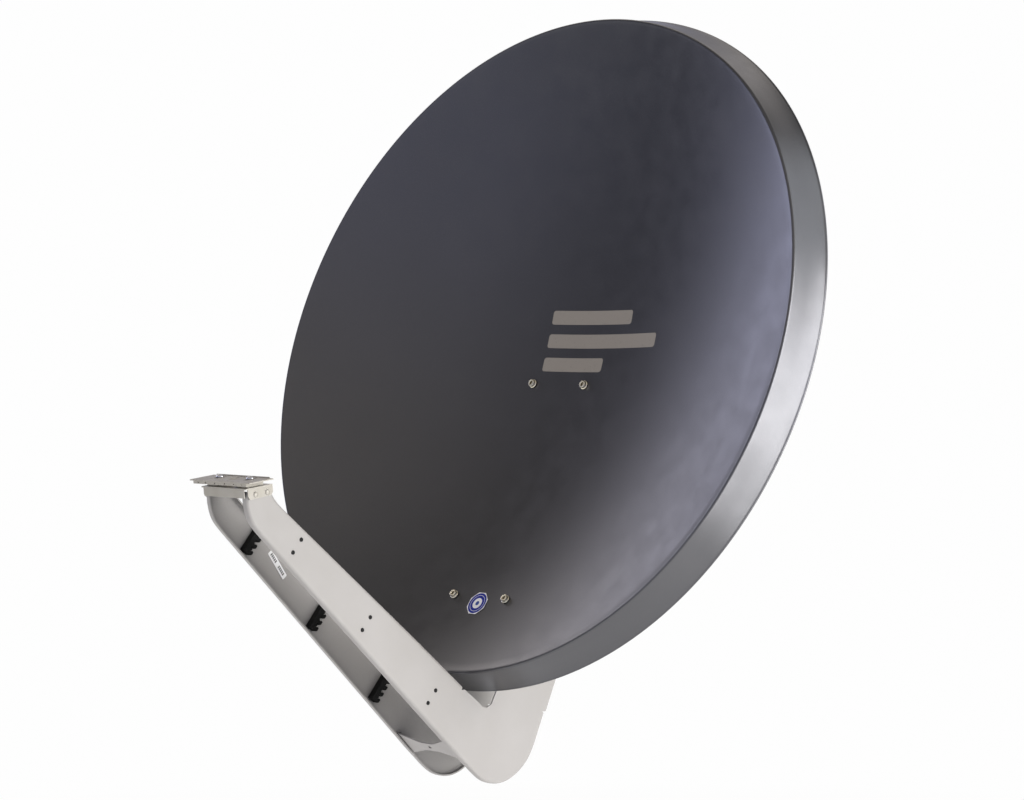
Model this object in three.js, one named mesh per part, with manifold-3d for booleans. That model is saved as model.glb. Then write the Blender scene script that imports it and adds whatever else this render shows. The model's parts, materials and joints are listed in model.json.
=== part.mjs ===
// Offset satellite dish of the 90 cm class with a twin-plate feed arm and a mast bracket.
// Millimetres, +Z up, the dish faces -Y. The origin is on the mast bracket's face against the mast,
// in the centre plane, level with the elevation pivot.
// The reflector, brackets and arm are drawn in the dish frame: x across, y backwards along the
// rim normal, z up in the rim plane, origin at the centre of the rim.
import * as THREE from "three";
import { mergeVertices } from "three/addons/utils/BufferGeometryUtils.js";
import Module from "manifold-3d";

const wasm = await Module();
wasm.setup();
const { Manifold, Mesh } = wasm;

// ---- driving dimensions -------------------------------------------------------------------
const lean = THREE.MathUtils.degToRad(20); // rim plane leans back this far from upright
const gap = 0.3; // clearance between touching pieces
const roundSides = 12; // facets round a small fastener or hole

const halfWidth = 450; // rim ellipse, across
const halfHeight = 470; // rim ellipse, up
const focal = 500; // focal length of the paraboloid
const sheet = 1.2; // reflector sheet
const skirtDepth = 50;
const skirtFlare = 16;
const skirtRise = 4.5; // the skirt is drawn along an axis a little steeper than the rim normal
const boltX = 47.5; // reflector bolts, half spacing
const upperBoltZ = -35;
const lowerBoltZ = -355;

const pivotY = 190; // elevation pivot in the dish frame
const pivotZ = -130;
const plate = 2; // arm plate thickness
const legX = 52; // outer face of an arm plate behind the dish
const bendY = 62; // forward of this the arm plates close in
const taper = 0.027; // mm closed in per mm forward
const flange = 8; // depth of the arm plate flanges
const pinHole = 3; // radius of the cable clip peg holes
const clipRows = [
  [-338, -393.5],
  [-193, -453.5],
  [-49.5, -512.5],
]; // middle of each peg pair, dish frame y and z
const pegPitch = 20.5;

const bracketX = 52.4; // inner face of the mast bracket sides
const bracketSheet = 2.5;
const webFront = 56;
const webBack = 59; // face against the mast
const lockRadius = 90.6; // elevation lock bolts, from the pivot
const lockAngle = THREE.MathUtils.degToRad(13.66); // lock bolt forward of straight down, at rest
const slotForward = THREE.MathUtils.degToRad(20); // travel of the lock bolt forward of rest
const slotBackward = THREE.MathUtils.degToRad(25);
const mastRadius = 30;
const clampX = 42; // clamp bolts, half spacing
const jawRows = [
  ["upper", 34],
  ["lower", -84],
];
const headY = -517; // feed plate centre, level frame measured from the rim centre
const stickerSize = [36, 38]; // width and height
const stickerLift = 1; // the sticker clears the curve of the face under it
const headZ = -178.5; // underside of the feed saddle top, level frame
const headTilt = THREE.MathUtils.degToRad(6); // the feed head dips forwards

// ---- solids ---------------------------------------------------------------------------------
// A geometry as a closed solid with its faces turned outwards.
function solidOf(geometry) {
  const plain = geometry.clone();
  plain.deleteAttribute("normal");
  plain.deleteAttribute("uv");
  const merged = mergeVertices(plain, 1e-4);
  const vertProperties = new Float32Array(merged.attributes.position.array);
  const triVerts = new Uint32Array(merged.index.array);
  const solid = new Manifold(new Mesh({ numProp: 3, vertProperties, triVerts }));
  if (solid.volume() >= 0) return solid;
  for (let i = 0; i < triVerts.length; i += 3) {
    [triVerts[i], triVerts[i + 1]] = [triVerts[i + 1], triVerts[i]];
  }
  return new Manifold(new Mesh({ numProp: 3, vertProperties, triVerts }));
}

function indexedSolid(positions, index) {
  const body = new THREE.BufferGeometry();
  body.setAttribute("position", new THREE.BufferAttribute(new Float32Array(positions), 3));
  body.setIndex(index);
  return solidOf(body);
}

function geometryOf(solid) {
  const mesh = solid.getMesh();
  const made = new THREE.BufferGeometry();
  made.setAttribute("position", new THREE.BufferAttribute(new Float32Array(mesh.vertProperties), 3));
  made.setIndex(new THREE.BufferAttribute(new Uint32Array(mesh.triVerts), 1));
  return made;
}

const united = (solids) => solids.reduce((a, b) => a.add(b));
const cut = (solid, tools) => tools.reduce((a, b) => a.subtract(b), solid);
const placed = (solid, matrix) => solid.transform(matrix.elements);

// An outline swept along the third axis: "x" takes (y, z) points and "z" takes (x, y) points.
const frames = {
  x: new THREE.Matrix4().set(0, 0, 1, 0, 1, 0, 0, 0, 0, 1, 0, 0, 0, 0, 0, 1),
  z: new THREE.Matrix4(),
};
function sheetAlong(axis, outline, from, to) {
  const shape = new THREE.Shape(outline.map(([a, b]) => new THREE.Vector2(a, b)));
  const body = new THREE.ExtrudeGeometry(shape, { depth: to - from, bevelEnabled: false, steps: 1 });
  body.translate(0, 0, from);
  body.applyMatrix4(frames[axis]);
  return solidOf(body);
}

function box(x0, x1, y0, y1, z0, z1) {
  const body = new THREE.BoxGeometry(x1 - x0, y1 - y0, z1 - z0);
  body.translate((x0 + x1) / 2, (y0 + y1) / 2, (z0 + z1) / 2);
  return solidOf(body);
}

// A turned body: profile of [radius, along] pairs about the line from a point along a direction.
function turned(profile, origin, direction, sides = roundSides) {
  const body = new THREE.LatheGeometry(
    profile.map(([r, h]) => new THREE.Vector2(r, h)),
    sides,
  );
  const turn = new THREE.Quaternion().setFromUnitVectors(
    new THREE.Vector3(0, 1, 0),
    new THREE.Vector3(...direction).normalize(),
  );
  body.applyQuaternion(turn);
  body.translate(...origin);
  return solidOf(body);
}

const rod = (radius, origin, direction, length, sides = roundSides) =>
  turned([[0, 0], [radius, 0], [radius, length], [0, length]], origin, direction, sides);

const hexRod = (acrossFlats, origin, direction, length) =>
  rod(acrossFlats / Math.sqrt(3), origin, direction, length, 6);

function arc(centreA, centreB, radius, fromDeg, toDeg, steps) {
  const points = [];
  for (let i = 0; i <= steps; i++) {
    const angle = THREE.MathUtils.degToRad(fromDeg + ((toDeg - fromDeg) * i) / steps);
    points.push([centreA + radius * Math.cos(angle), centreB + radius * Math.sin(angle)]);
  }
  return points;
}

const ringNut = (acrossFlats, bore, origin, direction, length) =>
  hexRod(acrossFlats, origin, direction, length).subtract(
    rod(
      bore,
      origin.map((v, i) => v - direction[i]),
      direction,
      length + 2,
    ),
  );

// ---- placing -------------------------------------------------------------------------------
const toLevel = new THREE.Matrix4().makeRotationX(-lean);
const pivotLevel = new THREE.Vector3(0, pivotY, pivotZ).applyMatrix4(toLevel);
const fromPivot = new THREE.Matrix4().makeTranslation(0, -webBack, 0);
const fromLevel = fromPivot
  .clone()
  .multiply(new THREE.Matrix4().makeTranslation(0, -pivotLevel.y, -pivotLevel.z));
const fromDish = fromLevel.clone().multiply(toLevel);
const headTurn = new THREE.Matrix4()
  .makeTranslation(0, headY, headZ)
  .multiply(new THREE.Matrix4().makeRotationX(headTilt))
  .multiply(new THREE.Matrix4().makeTranslation(0, -headY, -headZ));
const fromHead = fromLevel.clone().multiply(headTurn);

const paints = {
  graphite: [0x3c3e46, 0.25, 0.5],
  lightGrey: [0xd2cfc8, 0.1, 0.55],
  greyBeige: [0xa8a294, 0.2, 0.5],
  zinc: [0xb9bcc0, 0.9, 0.35],
  yellowZinc: [0xc9b06a, 0.9, 0.3],
  black: [0x141416, 0.0, 0.6],
  white: [0xf2f2f0, 0.0, 0.6],
  blue: [0x2a49a5, 0.0, 0.5],
  galvanised: [0x9fa3a6, 0.8, 0.5],
};

const root = new THREE.Group();
root.name = "satellite_dish";

function addPiece(name, solid, matrix, paint) {
  const [color, metalness, roughness] = paints[paint];
  const material = new THREE.MeshStandardMaterial({ color, metalness, roughness, name: paint });
  const piece = new THREE.Mesh(geometryOf(placed(solid, matrix)), material);
  piece.name = name;
  root.add(piece);
}

// ---- reflector -----------------------------------------------------------------------------
const rimCos = halfWidth / halfHeight;
const rimSin = Math.sqrt(1 - rimCos * rimCos);

// Depth of the reflecting face behind the rim plane: an offset section of a paraboloid.
function faceDepth(x, z) {
  const b = 2 * z * rimCos * rimSin + (4 * focal) / rimCos;
  const c = x * x + z * z * rimCos * rimCos - halfWidth * halfWidth;
  return (-b + Math.sqrt(b * b - 4 * rimSin * rimSin * c)) / (2 * rimSin * rimSin);
}

function reflectorSolid() {
  const sectors = 64;
  const faceSteps = [0.15, 0.32, 0.48, 0.63, 0.77, 0.89, 1];
  const lip = 6; // the crest rounds over the last few millimetres
  const crest = [
    [-3, 0.6],
    [-1, 0.15],
    [0.5, 0.9],
    [1.5, 3],
  ];
  const skirt = [
    [skirtFlare, skirtDepth],
    [skirtFlare + 0.9, skirtDepth + 1.6],
    [skirtFlare - 1.6, skirtDepth + 3],
  ];
  const positions = [];
  const rings = [];
  const addRing = (pointAt) => {
    const start = positions.length / 3;
    for (let i = 0; i < sectors; i++) {
      positions.push(...pointAt((i / sectors) * Math.PI * 2));
    }
    rings.push(start);
  };
  const onFace = (share, back) => (angle) => {
    const x = share * (halfWidth - lip) * Math.cos(angle);
    const z = share * (halfHeight - lip) * Math.sin(angle);
    return [x, faceDepth(x, z) + back, z];
  };
  const offRim = (out, y) => (angle) => {
    const slope = Math.hypot(Math.cos(angle) / halfWidth, Math.sin(angle) / halfHeight);
    const x = halfWidth * Math.cos(angle) + (out * Math.cos(angle)) / halfWidth / slope;
    const z = halfHeight * Math.sin(angle) + (out * Math.sin(angle)) / halfHeight / slope;
    return [x, y, z + (skirtRise * y) / skirtDepth];
  };
  faceSteps.forEach((share) => addRing(onFace(share, 0)));
  [...crest, ...skirt].forEach(([out, y]) => addRing(offRim(out, y)));
  // back surface, from the hem inwards
  addRing(offRim(skirtFlare - sheet - 0.2, skirtDepth));
  addRing(offRim(0.1, 4));
  addRing(offRim(-2.5, 2.4));
  [...faceSteps].reverse().forEach((share) => addRing(onFace(share, sheet)));
  const index = [];
  for (let r = 0; r + 1 < rings.length; r++) {
    for (let i = 0; i < sectors; i++) {
      const j = (i + 1) % sectors;
      const [a, b] = [rings[r] + i, rings[r] + j];
      const [c, d] = [rings[r + 1] + i, rings[r + 1] + j];
      index.push(a, c, b, b, c, d);
    }
  }
  const middle = positions.length / 3;
  positions.push(0, faceDepth(0, 0), 0);
  positions.push(0, faceDepth(0, 0) + sheet, 0);
  const last = rings[rings.length - 1];
  for (let i = 0; i < sectors; i++) {
    const j = (i + 1) % sectors;
    index.push(middle, rings[0] + i, rings[0] + j);
    index.push(middle + 1, last + j, last + i);
  }
  return indexedSolid(positions, index);
}

// The local frame at a pair of reflector bolts: origin on the centre line of the face, local y
// along the surface normal (backwards), local z up along the surface.
function boltFrame(z) {
  const step = 5;
  const slope = (faceDepth(0, z + step) - faceDepth(0, z - step)) / (2 * step);
  const tilt = -Math.atan(slope);
  return new THREE.Matrix4()
    .makeTranslation(0, faceDepth(boltX, z), z)
    .multiply(new THREE.Matrix4().makeRotationX(tilt));
}
const boltRows = [
  ["upper", boltFrame(upperBoltZ)],
  ["lower", boltFrame(lowerBoltZ)],
];
const sides = [
  ["left", -1],
  ["right", 1],
];

const reflectorHoles = boltRows.flatMap(([, frame]) =>
  sides.map(([, side]) => placed(rod(2.9, [side * boltX, -12, 0], [0, 1, 0], 30), frame)),
);
addPiece("reflector", cut(reflectorSolid(), reflectorHoles), fromDish, "graphite");

// ---- reflector bolts, nuts and brackets ----------------------------------------------------
const seat = sheet + 1.5; // bracket web starts here, clear of the bulge between the bolts
const webSheet = 2.5;
const headLift = 1; // bolt heads clear the curve of the face under them
const bracketHalf = 20;
const wallFrom = legX + 0.4;
const wallSheet = 2;
const wallReach = { upper: 46, lower: 50 };
const rivetAt = { upper: 33, lower: 37 }; // behind the face, along the surface normal

for (const [row, frame] of boltRows) {
  const place = fromDish.clone().multiply(frame);
  const nutFrom = seat + webSheet + gap;
  for (const [name, side] of sides) {
    const x = side * boltX;
    const head = turned(
      [[0, 0], [6.2, 0], [6.2, -1], [5, -1.3], [5, -4.3], [4.4, -4.9], [0, -4.9]],
      [x, -headLift, 0],
      [0, 1, 0],
      16,
    );
    const socket = hexRod(5, [x, -headLift - 6, 0], [0, 1, 0], 3.8);
    const shank = rod(2.5, [x, -headLift - 0.5, 0], [0, 1, 0], headLift + nutFrom + 7.5);
    addPiece(`reflector_bolt_${row}_${name}`, head.subtract(socket).add(shank), place, "yellowZinc");
    addPiece(
      `reflector_nut_${row}_${name}`,
      ringNut(8, 2.8, [x, nutFrom, 0], [0, 1, 0], 4.5),
      place,
      "zinc",
    );
  }
  const outerX = wallFrom + wallSheet;
  const web = box(-outerX, outerX, seat, seat + webSheet, -bracketHalf, bracketHalf);
  const window = box(-30, 30, seat - 1, seat + webSheet + 1, -bracketHalf + 8, bracketHalf - 8);
  const back = wallReach[row];
  const wallOutline = [
    [seat, -bracketHalf],
    [back - 8, -bracketHalf],
    [back, -bracketHalf + 8],
    [back, bracketHalf - 8],
    [back - 8, bracketHalf],
    [seat, bracketHalf],
  ];
  const walls = sides.map(([, side]) =>
    side < 0
      ? sheetAlong("x", wallOutline, -outerX, -wallFrom)
      : sheetAlong("x", wallOutline, wallFrom, outerX),
  );
  const holes = sides.flatMap(([, side]) => [
    rod(2.9, [side * boltX, 0, 0], [0, 1, 0], 12),
    rod(2.8, [side * (wallFrom - 2), rivetAt[row], 0], [side, 0, 0], 8),
  ]);
  const bracket = cut(united([web, ...walls]), [window, ...holes]);
  addPiece(`reflector_bracket_${row}`, bracket, place, "galvanised");
  for (const [name, side] of sides) {
    const inner = legX - plate - gap;
    const outer = wallFrom + wallSheet + gap;
    const rivet = turned(
      [
        [0, inner - 1.6],
        [3.4, inner - 1.6],
        [4.2, inner],
        [2.4, inner],
        [2.4, outer],
        [4.6, outer],
        [3.6, outer + 1.3],
        [0, outer + 1.8],
      ],
      [0, rivetAt[row], 0],
      [side, 0, 0],
    );
    addPiece(`bracket_rivet_${row}_${name}`, rivet, place, "zinc");
  }
}

// ---- arm plates ----------------------------------------------------------------------------
// Outline of the left and right arm plates in the dish frame, (y, z).
const frontEdge = [
  [-437, -353.5],
  [-435.8, -362],
  [-428.6, -375.2],
  [-417.6, -387.3],
  [-403.3, -395.2],
  [-381.8, -404.2],
  [-158.1, -496.9],
  [22, -573.2],
  [46, -582.4],
  [63, -589],
  [80, -593.8],
  [98, -593.9],
  [116, -589.4],
  [132, -580],
  [147, -564.5],
  [158, -545.5],
  [162.8, -525],
  [165, -503],
  [167.2, -480],
];
const rearEdge = [
  [168, -477],
  [173, -430],
  [205, -250],
  [220, -160],
  [222, -130],
  [217, -105],
  [166, -14],
  [158, -6],
  [120, -6],
  [114, -12],
  [112, -35],
  [66, -355],
  [63, -410],
  [64.6, -473.3],
  [61, -494],
  [54.5, -500.6],
  [46, -502],
  [39.4, -498.9],
  [6, -488.5],
];
const upperEdge = [
  [2, -485.2],
  [-91, -452.2],
  [-188.6, -419.3],
  [-264.4, -393.5],
  [-338, -368.3],
  [-374, -355.8],
  [-387, -350.6],
  [-394.5, -346],
  [-400, -340.8],
  [-403.5, -336.5],
];

// A finer path through the same points, curved between them.
function smoothed(path, perSegment) {
  const curve = new THREE.CatmullRomCurve3(
    path.map(([a, b]) => new THREE.Vector3(a, b, 0)),
    false,
    "centripetal",
  );
  return curve.getPoints((path.length - 1) * perSegment).map((point) => [point.x, point.y]);
}

// The flange is swept along an edge as a folded strip; the outward direction at each corner
// is the mitre of the two edges that meet there.
function foldedStrip(path) {
  const rise = [
    [-9, 0],
    [-4.2, 0],
    [-2.2, -0.55],
    [-0.7, -1.9],
    [0, -4],
    [0, -flange],
    [-plate, -flange],
    [-plate, -4],
    [-2.7, -2.9],
    [-4.2, -plate],
    [-9, -plate],
  ];
  const count = path.length;
  const positions = [];
  for (let i = 0; i < count; i++) {
    const before = path[Math.max(i - 1, 0)];
    const here = path[i];
    const after = path[Math.min(i + 1, count - 1)];
    const inDir = new THREE.Vector2(here[0] - before[0], here[1] - before[1]);
    const outDir = new THREE.Vector2(after[0] - here[0], after[1] - here[1]);
    if (i === 0) inDir.copy(outDir);
    if (i === count - 1) outDir.copy(inDir);
    const inNormal = new THREE.Vector2(inDir.y, -inDir.x).normalize();
    const outNormal = new THREE.Vector2(outDir.y, -outDir.x).normalize();
    const mitre = inNormal.clone().add(outNormal).normalize();
    const stretch = 1 / mitre.dot(outNormal);
    for (const [out, x] of rise) {
      positions.push(legX + x, here[0] + mitre.x * out * stretch, here[1] + mitre.y * out * stretch);
    }
  }
  const size = rise.length;
  const index = [];
  for (let i = 0; i + 1 < count; i++) {
    for (let k = 0; k < size; k++) {
      const n = (k + 1) % size;
      const [a, b] = [i * size + k, i * size + n];
      const [c, d] = [a + size, b + size];
      index.push(a, b, c, b, d, c);
    }
  }
  const section = rise.map(([out, x]) => new THREE.Vector2(out, x));
  const faces = THREE.ShapeUtils.triangulateShape(section, []);
  for (const [a, b, c] of faces) {
    index.push(a, b, c);
    const shift = (count - 1) * size;
    index.push(shift + a, shift + c, shift + b);
  }
  return indexedSolid(positions, index);
}

// Moves an edge inwards so that the flat plate ends inside its folded strip.
function inset(path, distance) {
  return path.map((here, i) => {
    const before = path[Math.max(i - 1, 0)];
    const after = path[Math.min(i + 1, path.length - 1)];
    const along = new THREE.Vector2(after[0] - before[0], after[1] - before[1]).normalize();
    return [here[0] - along.y * distance, here[1] + along.x * distance];
  });
}

const pivotHole = rod(5.3, [legX - 10, pivotY, pivotZ], [1, 0, 0], 20, 16);
const lockY = pivotY + lockRadius * Math.sin(lean - lockAngle);
const lockZ = pivotZ - lockRadius * Math.cos(lean - lockAngle);
const lockHole = rod(4.4, [legX - 10, lockY, lockZ], [1, 0, 0], 20);

const tapered = new THREE.Matrix4().set(1, taper, 0, -taper * bendY, 0, 1, 0, 0, 0, 0, 1, 0, 0, 0, 0, 1);
function closedIn(solid) {
  const reach = 700;
  const front = solid.intersect(box(-reach, reach, -reach, bendY, -reach, reach));
  const rear = solid.intersect(box(-reach, reach, bendY, reach, -reach, reach));
  return placed(front, tapered).add(rear);
}

const clipTurn = Math.atan2(0.93, 0.385); // the clips stand square to the arm
const clipAlong = [Math.cos(clipTurn), Math.sin(clipTurn)];
const pegCentres = clipRows.flatMap(([y, z]) =>
  [-0.5, 0.5].map((share) => [
    y + share * pegPitch * clipAlong[0],
    z + share * pegPitch * clipAlong[1],
  ]),
);
const headRivets = [
  [-522, -186],
  [-502.5, -186],
]; // feed head frame, (y, z)
const dishFromHead = toLevel.clone().invert().multiply(headTurn);
function headToDish([y, z]) {
  const point = new THREE.Vector3(0, y, z).applyMatrix4(dishFromHead);
  return [point.y, point.z];
}

function rightArmPlate() {
  const front = smoothed(frontEdge, 3);
  const upper = smoothed(upperEdge, 2);
  const flat = [...inset(front, 6), ...rearEdge, ...inset(upper, 6)];
  const body = united([
    sheetAlong("x", flat, legX - plate, legX),
    foldedStrip(front),
    foldedStrip(upper),
  ]);
  const pegHoles = pegCentres.map(([y, z]) => rod(pinHole, [legX - 20, y, z], [1, 0, 0], 30, 10));
  const rivetHoles = headRivets
    .map(headToDish)
    .map(([y, z]) => rod(2.6, [legX - 30, y, z], [1, 0, 0], 40, 8));
  const bracketHoles = boltRows.map(([row, frame]) =>
    placed(rod(2.8, [legX - 10, rivetAt[row], 0], [1, 0, 0], 20), frame),
  );
  return closedIn(cut(body, [pivotHole, lockHole, ...pegHoles, ...rivetHoles, ...bracketHoles]));
}
const rightPlate = rightArmPlate();
const mirrored = (solid) => solid.mirror([1, 0, 0]);
addPiece("arm_plate_right", rightPlate, fromDish, "lightGrey");
addPiece("arm_plate_left", mirrored(rightPlate), fromDish, "lightGrey");

const armOuter = (y) => legX + taper * Math.min(y - bendY, 0);

// ---- cable clips and the label inside the arm ------------------------------------------------
const clipDepth = 9;
const combU = -9.1; // the comb stands forward of its pegs
const combV = -1;
const lugSheet = 2;
const lugHalf = 3;
const downArm = [clipAlong[1], -clipAlong[0]];
const onArm = ([y, z], u, v) => [
  y + u * downArm[0] + v * clipAlong[0],
  z + u * downArm[1] + v * clipAlong[1],
];

function clipSolid(centre) {
  const outline = [
    [-3.5, -20.5],
    [3.2, -20.5],
  ];
  for (let hook = 0; hook < 4; hook++) {
    const v = -18 + hook * 10.3;
    outline.push([3.2, v - 1], [8.6, v - 1.6], [10.4, v + 0.4], [10.4, v + 4.2], [8.2, v + 4.9]);
    outline.push([7.6, v + 2.2], [5.6, v + 1.8], [4.2, v + 3.6], [3.2, v + 5.2]);
  }
  outline.push([3.2, 18.6], [2, 20], [-2, 20], [-3.5, 18.6]);
  const points = outline.map(([u, v]) => onArm(centre, combU + u, combV + v));
  const inner = legX - plate - gap;
  const comb = sheetAlong("x", points, inner - clipDepth, inner);
  const pegs = [-0.5, 0.5].flatMap((share) => {
    const v = share * pegPitch;
    const [y, z] = onArm(centre, 0, v);
    const tab = [
      [combU, v - lugHalf],
      [combU, v + lugHalf],
      [0, v + lugHalf],
      [lugHalf, v],
      [0, v - lugHalf],
    ].map(([a, b]) => onArm(centre, a, b));
    return [
      sheetAlong("x", tab, inner - lugSheet, inner),
      rod(pinHole - gap, [inner - 1, y, z], [1, 0, 0], 1 + gap + plate + 0.7, 10),
    ];
  });
  return placed(united([comb, ...pegs]), tapered);
}
clipRows.forEach((centre, row) => {
  const right = clipSolid(centre);
  addPiece(`cable_clip_right_${row + 1}`, right, fromDish, "black");
  addPiece(`cable_clip_left_${row + 1}`, mirrored(right), fromDish, "black");
});

const labelCentre = [-289, -408.5];
const labelTurn = Math.atan2(-27, 40);
const labelCorners = [
  [-22, -4.6],
  [22, -4.6],
  [22, 4.6],
  [-22, 4.6],
].map(([a, b]) => [
  labelCentre[0] + a * Math.cos(labelTurn) - b * Math.sin(labelTurn),
  labelCentre[1] + a * Math.sin(labelTurn) + b * Math.cos(labelTurn),
]);
const labelInner = legX - plate - gap;
const label = placed(sheetAlong("x", labelCorners, labelInner - 0.3, labelInner), tapered);
addPiece("arm_label", mirrored(label), fromDish, "white");

// ---- cross web between the arm plates ---------------------------------------------------------
// Lies just inside the front flanges; local z is square to the lower edge of the arm.
const webStart = [-4, -563.4];
const edgeTurn = Math.atan2(-82.4, 190);
const webPlane = new THREE.Matrix4()
  .makeTranslation(0, webStart[0], webStart[1])
  .multiply(new THREE.Matrix4().makeRotationX(edgeTurn));
const webInset = plate + 2.5; // clear of the bend inside the flange
const webHalf = 47.4;
const bowTie = [
  [-webHalf, 0],
  [-11, 16],
  [11, 16],
  [webHalf, 0],
  [webHalf, 44],
  [13, 32],
  [-13, 32],
  [-webHalf, 44],
].reverse();
const tabOutline = [
  [4, webInset],
  [40, webInset],
  [35, webInset + 8],
  [9, webInset + 8],
];
const crossWeb = united([
  sheetAlong("z", bowTie, webInset, webInset + 1.5),
  sheetAlong("x", tabOutline, -webHalf, -webHalf + 1.5),
  sheetAlong("x", tabOutline, webHalf - 1.5, webHalf),
]);
const hookHole = rod(2.6, [0, 24, webInset - 2], [0, 0, 1], 6);
addPiece("arm_cross_web", crossWeb.subtract(hookHole), fromDish.clone().multiply(webPlane), "lightGrey");

// ---- feed head ---------------------------------------------------------------------------------
const earInner = 39.9;
const saddleSheet = 1.5;
const saddleFront = -537;
const saddleBack = -494;
const earDrop = 14;
const earFront = -534; // a slit shows between each ear and the apron
const apronDrop = 10.5;
const screwX = 28;
const plateBase = headZ + saddleSheet + gap; // underside of the feed plate bosses
const bossHeight = 7.2;
const plateTop = plateBase + bossHeight + 1.5;

const earOutline = [
  [earFront, headZ + saddleSheet],
  [earFront, headZ - earDrop + 5],
  [earFront + 3, headZ - earDrop + 1],
  [saddleBack - 2, headZ - earDrop + 2],
  [saddleBack + 1, headZ - earDrop + 6],
  [saddleBack + 1, headZ + saddleSheet],
];
const ear = sheetAlong("x", earOutline, earInner, earInner + saddleSheet);
const saddleTop = box(
  -earInner - saddleSheet,
  earInner + saddleSheet,
  saddleFront,
  saddleBack,
  headZ,
  headZ + saddleSheet,
);
const apronHalf = 37;
const apronBottom = headZ - apronDrop;
const apronTop = headZ + saddleSheet;
const saddleApron = box(-apronHalf, apronHalf, saddleFront, saddleFront + 1.2, apronBottom, apronTop);
const saddleHoles = [
  ...sides.map(([, side]) => rod(2.8, [side * screwX, headY, headZ - 3], [0, 0, 1], 8)),
  ...headRivets.flatMap(([y, z]) =>
    sides.map(([, side]) => rod(2.6, [side * (earInner - 4), y, z], [side, 0, 0], 10, 8)),
  ),
];
addPiece(
  "feed_saddle",
  cut(united([saddleTop, ear, mirrored(ear), saddleApron]), saddleHoles),
  fromHead,
  "greyBeige",
);

headRivets.forEach(([y, z], row) => {
  const outer = earInner + saddleSheet + gap;
  const dishY = headToDish([y, z])[0];
  const inner = armOuter(dishY) - plate - gap;
  for (const [name, side] of sides) {
    const rivet = turned(
      [
        [0, inner - 1.4],
        [3, inner - 1.4],
        [3.6, inner],
        [2.2, inner],
        [2.2, outer],
        [4.2, outer],
        [3.4, outer + 1.1],
        [0, outer + 1.5],
      ],
      [0, y, z],
      [side, 0, 0],
    );
    addPiece(`saddle_rivet_${name}_${row + 1}`, rivet, fromHead, "greyBeige");
  }
});

const feedHalf = 55.5;
const feedFront = -543;
const feedBack = -503;
const slotReach = 8;
function slotTool(x, y, halfLength, radius, z0, z1) {
  const outline = [
    ...arc(x, y + halfLength, radius, 0, 180, 6),
    ...arc(x, y - halfLength, radius, 180, 360, 6),
  ];
  return sheetAlong("z", outline, z0, z1);
}
const feedTop = box(-feedHalf, feedHalf, feedFront, feedBack, plateTop - 1.5, plateTop);
const feedApron = box(-49, 49, feedFront, feedFront + 1.2, plateTop - 5, plateTop);
const feedLip = box(-49, 49, feedBack - 1.2, feedBack, plateTop, plateTop + 1.4);
const bosses = sides.map(([, side]) =>
  box(side * screwX - 9, side * screwX + 9, headY - 14, headY + 13, plateBase, plateTop - 1),
);
const feedHoles = [
  ...sides.map(([, side]) => slotTool(side * screwX, headY, slotReach, 2.9, plateBase - 1, plateTop + 1)),
  ...[-40, -26, -9, 9, 26, 40].map((x) =>
    rod(1.2, [x, feedFront - 2, plateTop - 3.1], [0, 1, 0], 5, 6),
  ),
  slotTool(0, headY - 2, 6, 4, plateTop - 3, plateTop + 1),
];
const feedPlate = cut(united([feedTop, feedApron, feedLip, ...bosses]), feedHoles);
addPiece("feed_plate", feedPlate, fromHead, "greyBeige");

for (const [name, side] of sides) {
  const x = side * screwX;
  const screw = turned(
    [
      [0, plateTop + gap],
      [4.8, plateTop + gap],
      [4.6, plateTop + 2],
      [3.2, plateTop + 3.2],
      [0, plateTop + 3.5],
    ],
    [x, headY, 0],
    [0, 0, 1],
  );
  const shank = rod(2.4, [x, headY, headZ - 7], [0, 0, 1], plateTop + 1 - headZ + 7, 8);
  addPiece(`feed_screw_${name}`, screw.add(shank), fromHead, "zinc");
  addPiece(
    `feed_nut_${name}`,
    ringNut(8, 2.7, [x, headY, headZ - gap - 4], [0, 0, 1], 4),
    fromHead,
    "zinc",
  );
}

// ---- sticker on the reflector -------------------------------------------------------------------
function stickerSolid(centreZ, width, height, lift) {
  const count = 8;
  const positions = [];
  const index = [];
  for (const back of [lift + 0.3, lift]) {
    positions.push(0, faceDepth(0, centreZ) - back, centreZ);
    for (let i = 0; i < count; i++) {
      const angle = ((i + 0.5) / count) * Math.PI * 2;
      const x = (width / 2) * Math.cos(angle);
      const z = centreZ + (height / 2) * Math.sin(angle);
      positions.push(x, faceDepth(x, z) - back, z);
    }
  }
  const size = count + 1;
  for (let i = 0; i < count; i++) {
    const a = 1 + i;
    const b = 1 + ((i + 1) % count);
    index.push(0, a, b, size, size + b, size + a, a, size + a, b, b, size + a, size + b);
  }
  return indexedSolid(positions, index);
}
addPiece("reflector_sticker", stickerSolid(-364, ...stickerSize, stickerLift), fromDish, "blue");

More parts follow.
